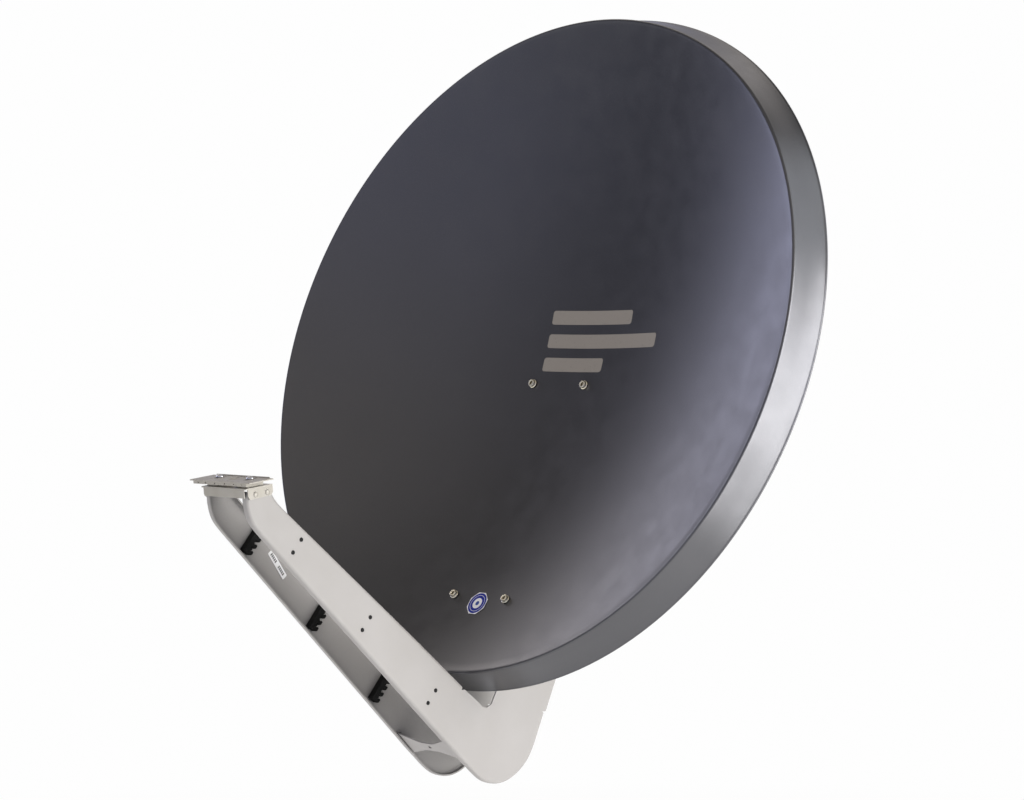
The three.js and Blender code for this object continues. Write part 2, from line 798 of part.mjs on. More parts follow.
// ---- mast bracket, drawn about the pivot ----------------------------------------------------------
const bracketOuter = bracketX + bracketSheet;
const bracketTop = 58;
const bracketBottom = -113;
const sideOutline = [
  [webBack, bracketTop],
  [46, bracketTop],
  ...arc(0, 0, 32, 50, 178, 9),
  [-37, -42],
  [-64, -60],
  [-68, -70],
  [-64, -84],
  [-46, -102],
  [-26, -110],
  [0, bracketBottom],
  [webBack, bracketBottom],
];
const slotOutline = [];
const slotSteps = 12;
const slotRadius = 4.4;
const slotStart = lockAngle - slotBackward - 0.004;
const slotEnd = lockAngle + slotForward + 0.004;
const atSlot = (radius, angle) => [-radius * Math.sin(angle), -radius * Math.cos(angle)];
for (let i = 0; i <= slotSteps; i++) {
  slotOutline.push(atSlot(lockRadius + slotRadius, slotStart + ((slotEnd - slotStart) * i) / slotSteps));
}
for (let i = 1; i < 5; i++) {
  const turn = (Math.PI * i) / 5;
  const out = slotRadius * Math.cos(turn);
  const on = (slotRadius * Math.sin(turn)) / lockRadius;
  slotOutline.push(atSlot(lockRadius + out, slotEnd + on));
}
for (let i = slotSteps; i >= 0; i--) {
  slotOutline.push(atSlot(lockRadius - slotRadius, slotStart + ((slotEnd - slotStart) * i) / slotSteps));
}
for (let i = 4; i > 0; i--) {
  const turn = (Math.PI * i) / 5;
  const out = slotRadius * Math.cos(turn);
  const on = (slotRadius * Math.sin(turn)) / lockRadius;
  slotOutline.push(atSlot(lockRadius + out, slotStart - on));
}
const bracketSide = cut(sheetAlong("x", sideOutline, bracketX, bracketOuter), [
  rod(5.3, [bracketX - 2, 0, 0], [1, 0, 0], 8, 16),
  sheetAlong("x", slotOutline, bracketX - 2, bracketOuter + 2),
]);
const bracketWeb = cut(
  box(-bracketOuter, bracketOuter, webFront, webBack, bracketBottom, bracketTop),
  jawRows.flatMap(([, z]) =>
    sides.map(([, side]) => box(side * clampX - 4.3, side * clampX + 4.3, 50, 65, z - 4.3, z + 4.3)),
  ),
);
addPiece("mast_bracket", united([bracketWeb, bracketSide, mirrored(bracketSide)]), fromPivot, "galvanised");

const boltFace = bracketOuter + gap;
const pivotBolt = united([
  turned(
    [[0, boltFace], [11, boltFace], [11, boltFace + 1.6], [9, boltFace + 2], [0, boltFace + 2]],
    [0, 0, 0],
    [1, 0, 0],
    16,
  ),
  hexRod(17, [boltFace + 1, 0, 0], [1, 0, 0], 7),
  rod(5, [-boltFace - 12, 0, 0], [1, 0, 0], 2 * boltFace + 13, 16),
]);
addPiece("pivot_bolt", pivotBolt, fromPivot, "zinc");
const spacerEnd = legX - plate - gap;
addPiece(
  "pivot_spacer",
  rod(9, [-spacerEnd, 0, 0], [1, 0, 0], 2 * spacerEnd, 16).subtract(
    rod(5.4, [-spacerEnd - 1, 0, 0], [1, 0, 0], 2 * spacerEnd + 2, 16),
  ),
  fromPivot,
  "zinc",
);
const flangeNut = (acrossFlats, bore, washer, height, origin, direction) =>
  united([hexRod(acrossFlats, origin, direction, height), rod(washer, origin, direction, 1.6, 16)]).subtract(
    rod(
      bore,
      origin.map((v, i) => v - direction[i]),
      direction,
      height + 2,
    ),
  );
addPiece("pivot_nut", flangeNut(17, 5.3, 11, 9, [-boltFace, 0, 0], [-1, 0, 0]), fromPivot, "zinc");

const [lockBoltY, lockBoltZ] = atSlot(lockRadius, lockAngle);
for (const [name, side] of sides) {
  const outward = [side, 0, 0];
  const nutLength = 6.5;
  const shankFrom = spacerEnd - nutLength - 3;
  const bolt = united([
    rod(10, [side * boltFace, lockBoltY, lockBoltZ], outward, 1.7, 16),
    hexRod(13, [side * boltFace, lockBoltY, lockBoltZ], outward, 7),
    rod(4, [side * shankFrom, lockBoltY, lockBoltZ], outward, boltFace + 1 - shankFrom),
  ]);
  addPiece(`lock_bolt_${name}`, bolt, fromPivot, "zinc");
  addPiece(
    `lock_nut_${name}`,
    ringNut(13, 4.3, [side * spacerEnd, lockBoltY, lockBoltZ], [-side, 0, 0], nutLength),
    fromPivot,
    "zinc",
  );
}

// ---- mast clamps -----------------------------------------------------------------------------------
const jawHalf = 15;
const jawSheet = 3;
const apexY = webBack + mastRadius * (1 + Math.SQRT2);
const flatY = apexY - 32;
const jawEnd = 54;
function jawSolid(z) {
  const inner = [[-jawEnd, flatY], [-32, flatY]];
  const teeth = 5;
  const toothPitch = 4.2;
  for (let i = 0; i < teeth; i++) {
    const x = -29 + i * toothPitch;
    inner.push([x, apexY + x], [x + 1.4, apexY + x - 1], [x + 3.2, apexY + x + 3.2]);
  }
  inner.push([-4, apexY - 4]);
  const outerPath = [
    [-4 - jawSheet * 0.4142, apexY - 4 + jawSheet],
    [-32 - jawSheet * 0.4142, flatY + jawSheet],
    [-jawEnd, flatY + jawSheet],
  ];
  const mirroredPath = (path) => path.map(([x, y]) => [-x, y]).reverse();
  const outline = [...inner, ...mirroredPath(inner), ...mirroredPath(outerPath), ...outerPath];
  const body = sheetAlong("z", outline, z - jawHalf, z + jawHalf);
  return cut(
    body,
    sides.map(([, side]) => rod(4.5, [side * clampX, flatY - 5, z], [0, 1, 0], 20)),
  );
}
for (const [row, z] of jawRows) {
  addPiece(`clamp_jaw_${row}`, jawSolid(z), fromPivot, "galvanised");
  for (const [name, side] of sides) {
    const x = side * clampX;
    const head = turned(
      [[0, -gap], [7.4, -gap], [7, -2], [4.6, -4], [0, -4.8]],
      [x, webFront, z],
      [0, 1, 0],
    );
    const neck = box(x - 4, x + 4, webFront - 1, webBack - 0.4, z - 4, z + 4);
    const shank = rod(4, [x, webFront, z], [0, 1, 0], 82);
    addPiece(`clamp_bolt_${row}_${name}`, united([head, neck, shank]), fromPivot, "zinc");
    addPiece(
      `clamp_nut_${row}_${name}`,
      flangeNut(13, 4.35, 8.6, 8, [x, flatY + jawSheet + gap, z], [0, 1, 0]),
      fromPivot,
      "zinc",
    );
  }
}

export default root;
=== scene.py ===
# Looks of an offset satellite dish on a mast bracket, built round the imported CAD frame.
# Metres, +Z up, the dish faces -Y. Shapes are drawn in the dish frame: x across, y backwards
# along the rim normal, z up in the rim plane, origin at the centre of the rim.
import json
import math

import bmesh
import bpy
from mathutils import Matrix, Vector


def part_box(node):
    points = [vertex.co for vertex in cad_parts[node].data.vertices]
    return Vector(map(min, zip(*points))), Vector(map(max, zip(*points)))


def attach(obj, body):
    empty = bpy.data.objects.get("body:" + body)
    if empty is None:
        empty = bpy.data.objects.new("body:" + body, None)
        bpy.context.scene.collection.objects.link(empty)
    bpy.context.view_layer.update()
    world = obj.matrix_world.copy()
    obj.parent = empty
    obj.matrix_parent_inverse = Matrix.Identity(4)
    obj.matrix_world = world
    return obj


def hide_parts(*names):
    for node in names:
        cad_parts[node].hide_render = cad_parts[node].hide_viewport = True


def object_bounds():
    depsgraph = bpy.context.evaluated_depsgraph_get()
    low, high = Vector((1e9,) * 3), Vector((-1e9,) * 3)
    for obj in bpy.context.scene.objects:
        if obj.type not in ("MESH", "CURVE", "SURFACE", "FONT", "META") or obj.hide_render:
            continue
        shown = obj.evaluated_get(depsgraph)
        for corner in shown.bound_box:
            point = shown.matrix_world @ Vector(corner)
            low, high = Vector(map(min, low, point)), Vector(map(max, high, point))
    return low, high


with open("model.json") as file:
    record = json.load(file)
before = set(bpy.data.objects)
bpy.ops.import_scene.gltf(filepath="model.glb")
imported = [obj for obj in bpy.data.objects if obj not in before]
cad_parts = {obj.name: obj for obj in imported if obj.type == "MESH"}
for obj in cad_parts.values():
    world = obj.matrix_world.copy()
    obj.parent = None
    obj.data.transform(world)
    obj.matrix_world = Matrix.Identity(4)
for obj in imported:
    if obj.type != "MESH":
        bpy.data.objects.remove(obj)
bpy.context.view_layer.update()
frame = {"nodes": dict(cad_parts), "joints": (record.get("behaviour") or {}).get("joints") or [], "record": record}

MM = 0.001
NODES = frame["nodes"]
BODY_OF = {
    node: body
    for body, members in frame["record"]["behaviour"]["bodies"].items()
    for node in members
}
SIDES = {"left": -1, "right": 1}

# ---- places that everything else is measured from -----------------------------------------
LEAN = math.radians(20)
PIVOT_BEHIND_RIM = 190 * MM
PIVOT_BELOW_CENTRE = 130 * MM
FOCAL = 500 * MM
SHEET = 1.2 * MM
SKIRT_DEPTH = 50 * MM
SKIRT_FLARE = 16 * MM
HEM_BULGE = 0.9 * MM
SKIRT_RISE = 4.5 * MM  # the skirt is drawn along an axis a little steeper than the rim normal
RIM_COS = 45 / 47  # rim width over rim height
RIM_SIN = math.sqrt(1 - RIM_COS**2)
HALF_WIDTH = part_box("reflector")[1].x - SKIRT_FLARE - HEM_BULGE
HALF_HEIGHT = HALF_WIDTH / RIM_COS

elevation = next(joint for joint in frame["joints"] if joint["name"] == "elevation")
DISH = (
    Matrix.Translation(elevation["pos_m"])
    @ Matrix.Rotation(-LEAN, 4, "X")
    @ Matrix.Translation((0, -PIVOT_BEHIND_RIM, PIVOT_BELOW_CENTRE))
)
RIM_CENTRE = DISH.translation


def face_depth(x, z):
    """How far the reflecting face lies behind the rim plane: an offset cut of a paraboloid."""
    b = 2 * z * RIM_COS * RIM_SIN + 4 * FOCAL / RIM_COS
    c = x * x + z * z * RIM_COS**2 - HALF_WIDTH**2
    return (-b + math.sqrt(b * b - 4 * RIM_SIN**2 * c)) / (2 * RIM_SIN**2)


def face_frame(x, z):
    """Frame on the face at x, z: its local z points backwards, square to the surface."""
    step = 5 * MM
    slope = (face_depth(0, z + step) - face_depth(0, z - step)) / (2 * step)
    turn = Matrix.Rotation(-math.atan(slope), 4, "X") @ Matrix.Rotation(-math.pi / 2, 4, "X")
    return DISH @ Matrix.Translation((x, face_depth(x, z), z)) @ turn


# ---- materials ------------------------------------------------------------------------------
def grey(level):
    return (level, level, level, 1)


class Paint:
    """A material's node tree, with short calls for the nodes that the finishes use."""

    def __init__(self, name, metallic=0.0):
        self.material = bpy.data.materials.new(name)
        self.material.use_nodes = True
        self.tree = self.material.node_tree
        self.shader = self.tree.nodes["Principled BSDF"]
        self.shader.inputs["Metallic"].default_value = metallic
        coordinates = self.add("ShaderNodeTexCoord")
        self.place = coordinates.outputs["Object"]
        self.flat = coordinates.outputs["UV"]

    def add(self, kind, **settings):
        node = self.tree.nodes.new(kind)
        for key, value in settings.items():
            setattr(node, key, value)
        return node

    def feed(self, node, values):
        for key, value in values.items():
            if isinstance(value, bpy.types.NodeSocket):
                self.tree.links.new(value, node.inputs[key])
            else:
                node.inputs[key].default_value = value
        return node

    def noise(self, scale, detail=3.0, rough=0.5):
        node = self.add("ShaderNodeTexNoise")
        values = {
            "Vector": self.place,
            "Scale": scale,
            "Detail": detail,
            "Roughness": rough,
        }
        return self.feed(node, values).outputs["Fac"]

    def ramp(self, source, stops):
        """A colour ramp through (position, colour) stops."""
        node = self.feed(self.add("ShaderNodeValToRGB"), {"Fac": source})
        elements = node.color_ramp.elements
        while len(elements) < len(stops):
            elements.new(0.5)
        for element, (position, colour) in zip(elements, stops):
            element.position = position
            element.color = colour
        return node.outputs["Color"]

    def mix(self, share, a, b):
        node = self.add("ShaderNodeMix", data_type="RGBA")
        sockets = {socket.identifier: socket for socket in node.inputs}
        for identifier, value in (
            ("Factor_Float", share),
            ("A_Color", a),
            ("B_Color", b),
        ):
            if isinstance(value, bpy.types.NodeSocket):
                self.tree.links.new(value, sockets[identifier])
            else:
                sockets[identifier].default_value = value
        return next(s for s in node.outputs if s.identifier == "Result_Color")

    def maths(self, operation, a, b=0.0):
        node = self.add("ShaderNodeMath", operation=operation)
        for socket, value in zip(node.inputs, (a, b)):
            if isinstance(value, bpy.types.NodeSocket):
                self.tree.links.new(value, socket)
            else:
                socket.default_value = value
        return node.outputs[0]

    def between(self, source, low, high, to_low=0.0, to_high=1.0):
        node = self.add("ShaderNodeMapRange")
        values = {
            "Value": source,
            "From Min": low,
            "From Max": high,
            "To Min": to_low,
            "To Max": to_high,
        }
        return self.feed(node, values).outputs[0]

    def length(self, vector):
        node = self.add("ShaderNodeVectorMath", operation="LENGTH")
        return self.feed(node, {0: vector}).outputs["Value"]

    def edges(self, radius):
        """Near 1 on convex and concave corners of about that radius, 0 on flat ground."""
        soft = self.feed(self.add("ShaderNodeBevel", samples=6), {"Radius": radius})
        plain = self.add("ShaderNodeNewGeometry")
        dot = self.add("ShaderNodeVectorMath", operation="DOT_PRODUCT")
        self.tree.links.new(soft.outputs[0], dot.inputs[0])
        self.tree.links.new(plain.outputs["Normal"], dot.inputs[1])
        return self.between(dot.outputs["Value"], 0.995, 0.9)

    def painted_recess_shade(self, reach):
        """Near 1 where walls stand close all round, 0 in the open: the mask for painted shade in recesses."""
        hidden = self.add("ShaderNodeAmbientOcclusion", samples=6)
        self.feed(hidden, {"Distance": reach})
        return self.between(hidden.outputs["AO"], 0.62, 0.12)

    def bar(self, centre, half, radius, soft=0.15 * MM):
        """1 inside a round-cornered bar on the flat coordinates, 0 outside."""
        offset = self.add("ShaderNodeVectorMath", operation="SUBTRACT")
        self.feed(offset, {0: self.flat, 1: (*centre, 0)})
        size = self.add("ShaderNodeVectorMath", operation="ABSOLUTE")
        self.feed(size, {0: offset.outputs[0]})
        inner = (half[0] - radius, half[1] - radius, 1)
        past = self.add("ShaderNodeVectorMath", operation="SUBTRACT")
        self.feed(past, {0: size.outputs[0], 1: inner})
        kept = self.add("ShaderNodeVectorMath", operation="MAXIMUM")
        self.feed(kept, {0: past.outputs[0], 1: (0, 0, 0)})
        return self.between(self.length(kept.outputs[0]), radius + soft, radius - soft)

    def finish(self, colour, roughness, heights=(), **others):
        """Joins colour, roughness and a chain of (height, strength, depth) bumps to the shader."""
        normal = None
        for height, strength, depth in heights:
            values = {"Height": height, "Strength": strength, "Distance": depth}
            if normal is not None:
                values["Normal"] = normal
            normal = self.feed(self.add("ShaderNodeBump"), values).outputs[0]
        values = {"Base Color": colour, "Roughness": roughness, **others}
        if normal is not None:
            values["Normal"] = normal
        self.feed(self.shader, values)
        return self.material


# Printed bars that stand in for the lettering: left edge, middle height and length of each.
PRINT_LEFT = -38 * MM
PRINT_BARS = [(62 * MM, 150 * MM), (28 * MM, 205 * MM), (-6 * MM, 110 * MM)]
PRINT_HALF_HEIGHT = 10 * MM
OFF_PRINT = (1, 1)  # a place far from the bars, given to the back of the sheet


def graphite_paint():
    paint = Paint("graphite_paint", metallic=0.9)
    broad = paint.noise(2.2, detail=4)
    base = paint.ramp(broad, [(0.3, (0.110, 0.111, 0.117, 1)), (0.7, (0.122, 0.123, 0.132, 1))])
    flake = paint.between(paint.noise(2600, detail=1), 0.62, 0.74)
    flaked = paint.mix(paint.maths("MULTIPLY", flake, 0.25), base, grey(0.40))
    dust = paint.between(paint.noise(9, detail=6, rough=0.65), 0.55, 0.8)
    dusty = paint.mix(paint.maths("MULTIPLY", dust, 0.05), flaked, (0.24, 0.23, 0.21, 1))
    worn = paint.mix(paint.maths("MULTIPLY", paint.edges(0.8 * MM), 0.2), dusty, grey(0.30))
    printed = None
    for height, length in PRINT_BARS:
        centre = (PRINT_LEFT + length / 2, height)
        mask = paint.bar(centre, (length / 2, PRINT_HALF_HEIGHT), 4 * MM)
        printed = mask if printed is None else paint.maths("MAXIMUM", printed, mask)
    ink_wear = paint.between(paint.noise(240, detail=5), 0.25, 0.4, 0.82, 1)
    printed = paint.maths("MULTIPLY", printed, ink_wear)
    colour = paint.mix(printed, worn, (0.33, 0.30, 0.26, 1))
    smooth = paint.between(paint.noise(35, detail=4), 0.3, 0.7, 0.28, 0.34)
    peel = paint.noise(520, detail=2)
    grain = paint.noise(3000, detail=1)
    heights = [(peel, 0.10, 0.25 * MM), (grain, 0.08, 0.1 * MM), (printed, 0.3, 0.05 * MM)]
    metallic = paint.between(printed, 0, 1, 0.9, 0.0)
    return paint.finish(colour, smooth, heights, Metallic=metallic)


def arm_paint():
    paint = Paint("arm_paint")
    cloud = paint.noise(14, detail=5)
    base = paint.ramp(cloud, [(0.3, (0.375, 0.36, 0.342, 1)), (0.7, (0.402, 0.388, 0.372, 1))])
    speck = paint.between(paint.noise(420, detail=4, rough=0.7), 0.70, 0.76)
    specked = paint.mix(paint.maths("MULTIPLY", speck, 0.3), base, (0.26, 0.245, 0.22, 1))
    worn = paint.mix(paint.maths("MULTIPLY", paint.edges(0.7 * MM), 0.35), specked, grey(0.56))
    # painted shade: the colour goes to near black where the arm plates close in, between the plates and in the
    # V-notch
    worn = paint.mix(paint.painted_recess_shade(120 * MM), worn, (0.10, 0.10, 0.105, 1))
    roughness = paint.between(paint.noise(60, detail=4), 0.3, 0.7, 0.42, 0.56)
    heights = [(paint.noise(700, detail=3), 0.12, 0.2 * MM), (paint.noise(2600), 0.08, 0.1 * MM)]
    return paint.finish(worn, roughness, heights)


def head_paint():
    paint = Paint("head_paint", metallic=0.1)
    cloud = paint.noise(40, detail=5)
    base = paint.ramp(cloud, [(0.3, (0.40, 0.375, 0.32, 1)), (0.7, (0.46, 0.44, 0.39, 1))])
    worn = paint.mix(paint.maths("MULTIPLY", paint.edges(0.5 * MM), 0.5), base, grey(0.75))
    roughness = paint.between(paint.noise(90, detail=4), 0.3, 0.7, 0.34, 0.5)
    heights = [(paint.noise(900, detail=3), 0.10, 0.15 * MM)]
    return paint.finish(worn, roughness, heights)


def zinc():
    paint = Paint("zinc", metallic=1.0)
    cloud = paint.noise(160, detail=5)
    base = paint.ramp(cloud, [(0.3, (0.50, 0.51, 0.53, 1)), (0.7, (0.68, 0.68, 0.69, 1))])
    worn = paint.mix(paint.maths("MULTIPLY", paint.edges(0.3 * MM), 0.5), base, grey(0.85))
    roughness = paint.between(paint.noise(300, detail=4), 0.3, 0.7, 0.24, 0.42)
    heights = [(paint.noise(1800, detail=4), 0.15, 0.08 * MM)]
    return paint.finish(worn, roughness, heights)


def yellow_zinc():
    paint = Paint("yellow_zinc", metallic=1.0)
    cloud = paint.noise(260, detail=4)
    stops = [
        (0.30, (0.76, 0.68, 0.52, 1)),
        (0.50, (0.90, 0.84, 0.68, 1)),
        (0.68, (0.78, 0.78, 0.64, 1)),
        (0.80, (0.84, 0.74, 0.66, 1)),
    ]
    base = paint.ramp(cloud, stops)
    worn = paint.mix(paint.maths("MULTIPLY", paint.edges(0.3 * MM), 0.5), base, (0.9, 0.86, 0.7, 1))
    # painted shade: the colour goes to near black in the hexagon socket and close round the head
    worn = paint.mix(paint.painted_recess_shade(9 * MM), worn, (0.04, 0.035, 0.025, 1))
    roughness = paint.between(paint.noise(500, detail=4), 0.3, 0.7, 0.2, 0.36)
    heights = [(paint.noise(2200, detail=3), 0.12, 0.06 * MM)]
    return paint.finish(worn, roughness, heights)


def galvanised():
    paint = Paint("galvanised", metallic=0.9)
    cells = paint.feed(paint.add("ShaderNodeTexVoronoi"), {"Vector": paint.place, "Scale": 150})
    tone = paint.between(cells.outputs["Color"], 0, 1, 0, 0.7)
    blotch = paint.noise(30, detail=5)
    both = paint.maths("ADD", paint.maths("MULTIPLY", blotch, 0.5), tone)
    base = paint.ramp(both, [(0.2, (0.34, 0.35, 0.37, 1)), (0.9, (0.56, 0.57, 0.58, 1))])
    worn = paint.mix(paint.maths("MULTIPLY", paint.edges(0.5 * MM), 0.4), base, grey(0.72))
    roughness = paint.between(tone, 0, 0.7, 0.36, 0.56)
    heights = [(tone, 0.05, 0.1 * MM), (paint.noise(1500, detail=3), 0.1, 0.1 * MM)]
    return paint.finish(worn, roughness, heights)


def black_plastic():
    paint = Paint("black_plastic")
    base = paint.ramp(paint.noise(80), [(0.3, grey(0.004)), (0.7, grey(0.008))])
    worn = paint.mix(paint.maths("MULTIPLY", paint.edges(0.4 * MM), 0.3), base, grey(0.03))
    roughness = paint.between(paint.noise(120, detail=4), 0.3, 0.7, 0.45, 0.6)
    heights = [(paint.noise(2400, detail=2), 0.2, 0.08 * MM)]
    return paint.finish(worn, roughness, heights, **{"Specular IOR Level": 0.2})


LABEL_LENGTH = 44 * MM
LABEL_WIDTH = 9.2 * MM


def white_label():
    """Pale film with two groups of plain printed bars."""
    paint = Paint("white_label")
    base = paint.ramp(paint.noise(300, detail=4), [(0.3, grey(0.88)), (0.7, grey(0.94))])
    printed = None
    for start in (-17 * MM, 4 * MM):
        for i in range(5):
            centre = (start + i * 3 * MM, 0)
            mask = paint.bar(centre, (0.9 * MM, 2.2 * MM), 0.5 * MM, soft=0.1 * MM)
            printed = mask if printed is None else paint.maths("MAXIMUM", printed, mask)
    colour = paint.mix(printed, base, grey(0.05))
    roughness = paint.between(paint.noise(200), 0.3, 0.7, 0.3, 0.42)
    return paint.finish(colour, roughness, [(paint.noise(900, detail=4), 0.1, 0.05 * MM)])


def blue_sticker():
    """Blue eight-sided film with a white border, a thin white ring and a white disc."""
    paint = Paint("blue_sticker")
    base = paint.ramp(
        paint.noise(260, detail=4), [(0.3, (0.004, 0.016, 0.26, 1)), (0.7, (0.007, 0.024, 0.32, 1))]
    )
    radius = paint.length(paint.flat)
    ring = paint.maths(
        "MULTIPLY",
        paint.between(radius, 0.66, 0.67),
        paint.between(radius, 0.70, 0.69),
    )
    disc = paint.between(radius, 0.46, 0.44)
    white = paint.maths("MAXIMUM", ring, disc)
    border = paint.between(radius, 0.86, 0.88)
    white = paint.maths("MAXIMUM", white, border)
    core = paint.between(radius, 0.19, 0.17)
    colour = paint.mix(white, base, grey(0.95))
    colour = paint.mix(core, colour, (0.03, 0.08, 0.34, 1))
    roughness = paint.between(paint.noise(150), 0.3, 0.7, 0.28, 0.4)
    heights = [(paint.noise(700), 0.08, 0.05 * MM)]
    return paint.finish(colour, roughness, heights, **{"Specular IOR Level": 0.25})


FINISHES = {
    "graphite_paint": graphite_paint(),
    "arm_paint": arm_paint(),
    "head_paint": head_paint(),
    "zinc": zinc(),
    "yellow_zinc": yellow_zinc(),
    "galvanised": galvanised(),
    "black_plastic": black_plastic(),
    "white_label": white_label(),
    "blue_sticker": blue_sticker(),
}


# ---- mesh building --------------------------------------------------------------------------
def add_piece(name, bm, finish, body, replaced=(), sharp_deg=35):
    """Turns a bmesh into a shown piece that rides on a body, with edges sharp above an angle."""
    bmesh.ops.recalc_face_normals(bm, faces=bm.faces)
    for face in bm.faces:
        face.smooth = True
    for edge in bm.edges:
        edge.smooth = edge.calc_face_angle(0) < math.radians(sharp_deg)
    mesh = bpy.data.meshes.new(name)
    bm.to_mesh(mesh)
    bm.free()
    piece = bpy.data.objects.new(name, mesh)
    bpy.context.scene.collection.objects.link(piece)
    mesh.materials.append(FINISHES[finish])
    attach(piece, body)
    if replaced:
        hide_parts(*replaced)
    return piece


def skin(bm, rings, ends="capped"):
    """Faces between rings of equal count. Ends are capped, or "joined" to make a closed loop."""
    loops = [[bm.verts.new(point) for point in ring] for ring in rings]
    pairs = list(zip(loops, loops[1:]))
    if ends == "joined":
        pairs.append((loops[-1], loops[0]))
    count = len(loops[0])
    for near, far in pairs:
        for i in range(count):
            j = (i + 1) % count
            bm.faces.new((near[i], near[j], far[j], far[i]))
    if ends == "capped":
        bm.faces.new(loops[0][::-1])
        bm.faces.new(loops[-1])
    return loops


def smooth_path(points, steps):
    """A Catmull-Rom curve through 2-D points."""
    path = []
    for i in range(len(points) - 1):
        a, b = points[max(i - 1, 0)], points[i]
        c, d = points[i + 1], points[min(i + 2, len(points) - 1)]
        for k in range(steps):
            t = k / steps
            path.append(
                tuple(
                    0.5
                    * (
                        2 * b[n]
                        + (c[n] - a[n]) * t
                        + (2 * a[n] - 5 * b[n] + 4 * c[n] - d[n]) * t**2
                        + (3 * b[n] - a[n] - 3 * c[n] + d[n]) * t**3
                    )
                    for n in range(2)
                )
            )
    path.append(tuple(points[-1]))
    return path


# ---- reflector ------------------------------------------------------------------------------
SECTORS = 288
FACE_RINGS = 44
CREST_INSET = 6 * MM  # the crest rounds over the last few millimetres
BOLT_X = 47.5 * MM
BOLT_ROWS = {"upper": -35 * MM, "lower": -355 * MM}
BOLT_HOLE = 2.9 * MM


def reflector_rings():
    """Rings in the dish frame, from the centre of the face over the crest and back inside."""

    def on_face(share, back):
        points = []
        for i in range(SECTORS):
            angle = 2 * math.pi * i / SECTORS
            x = share * (HALF_WIDTH - CREST_INSET) * math.cos(angle)
            z = share * (HALF_HEIGHT - CREST_INSET) * math.sin(angle)
            points.append(Vector((x, face_depth(x, z) + back, z)))
        return points

    def off_rim(out, y):
        points = []
        for i in range(SECTORS):
            angle = 2 * math.pi * i / SECTORS
            across = math.cos(angle) / HALF_WIDTH
            up = math.sin(angle) / HALF_HEIGHT
            slope = math.hypot(across, up)
            x = HALF_WIDTH * math.cos(angle) + out * across / slope
            z = HALF_HEIGHT * math.sin(angle) + out * up / slope
            points.append(Vector((x, y, z + SKIRT_RISE * y / SKIRT_DEPTH)))
        return points

    shares = [0.012 + 0.988 * (i / (FACE_RINGS - 1)) ** 0.9 for i in range(FACE_RINGS)]
    front = [(-3.2, 1.1), (-1.6, 0.45), (-0.2, 0.25), (1, 0.9), (1.8, 2.3), (2.4, 4.4)]
    skirt = [(2.4, 4.4), (5.2, 15), (8.5, 27.5), (12.1, 39.5), (15.6, 49)]
    hem = [(15.6, 49), (16.8, 50.9), (16.6, 52.2), (15.4, 52.9), (14.5, 52.2), (14.4, 50)]
    inside = [(14.4, 50), (7.1, 28), (2.1, 7.5), (0.6, 3.4), (-1.8, 2)]
    path = smooth_path(front, 4)[:-1] + smooth_path(skirt, 4)[:-1]
    path += smooth_path(hem, 3)[:-1] + smooth_path(inside, 6)
    rings = [on_face(share, 0) for share in shares]
    rings += [off_rim(out * MM, y * MM) for out, y in path]
    rings += [on_face(share, SHEET) for share in reversed(shares)]
    return rings


def bolt_hole_cutter():
    bm = bmesh.new()
    for z in BOLT_ROWS.values():
        for side in SIDES.values():
            place = face_frame(side * BOLT_X, z)
            rings = [
                [
                    place
                    @ Vector((BOLT_HOLE * math.cos(a), BOLT_HOLE * math.sin(a), depth))
                    for a in (2 * math.pi * i / 32 for i in range(32))
                ]
                for depth in (-10 * MM, 10 * MM)
            ]
            skin(bm, rings)
    bmesh.ops.recalc_face_normals(bm, faces=bm.faces)
    mesh = bpy.data.meshes.new("bolt_hole_cutter")
    bm.to_mesh(mesh)
    bm.free()
    cutter = bpy.data.objects.new("bolt_hole_cutter", mesh)
    bpy.context.scene.collection.objects.link(cutter)
    return cutter


def apply_modifiers(piece):
    """Replaces the piece's mesh by its modified one."""
    graph = bpy.context.evaluated_depsgraph_get()
    finished = bpy.data.meshes.new_from_object(piece.evaluated_get(graph))
    piece.modifiers.clear()
    piece.data = finished


def add_flat_coordinates(mesh, to_flat):
    """Writes a UV layer: to_flat gives the flat position, in metres, of a point of the mesh."""
    layer = mesh.uv_layers.new(name="flat")
    for loop in mesh.loops:
        layer.data[loop.index].uv = to_flat(mesh.vertices[loop.vertex_index].co)


def build_reflector():
    bm = bmesh.new()
    rings = [[DISH @ point for point in ring] for ring in reflector_rings()]
    skin(bm, rings)
    shell = add_piece("reflector_shell", bm, "graphite_paint", "head", ["reflector"])
    cutter = bolt_hole_cutter()
    holes = shell.modifiers.new("bolt_holes", "BOOLEAN")
    holes.object = cutter
    holes.solver = "EXACT"
    apply_modifiers(shell)
    bpy.data.objects.remove(cutter)
    back = DISH.inverted()

    def to_dish(point):
        local = back @ point
        return (local.x, local.z)

    add_flat_coordinates(shell.data, to_dish)
    layer = shell.data.uv_layers["flat"]
    # the bars are printed on the front only
    for face in shell.data.polygons:
        if (back.to_3x3() @ face.normal).y > 0:
            for corner in face.loop_indices:
                layer.data[corner].uv = OFF_PRINT


build_reflector()


# ---- fasteners ------------------------------------------------------------------------------
TURNS = 48


def station(along, radius, sides=0, clip=None):
    """One ring of a turned piece: round, or a polygon whose flats are at that radius."""
    points = []
    for i in range(TURNS):
        angle = 2 * math.pi * i / TURNS
        reach = radius
        if sides:
            part = 2 * math.pi / sides
            reach = radius / math.cos((angle + part / 2) % part - part / 2)
        if clip:
            reach = min(reach, clip)
        points.append(Vector((reach * math.cos(angle), reach * math.sin(angle), along)))
    return points


def thread(start, end, radius, pitch):
    """Ridges of a screw thread between two places along a shank."""
    rings = []
    depth = 0.55 * pitch
    count = max(1, round((end - start) / pitch))
    for i in range(count):
        base = start + (end - start) * i / count
        rings += [station(base, radius - depth), station(base + 0.5 * pitch, radius)]
    rings.append(station(end, radius - depth))
    return rings


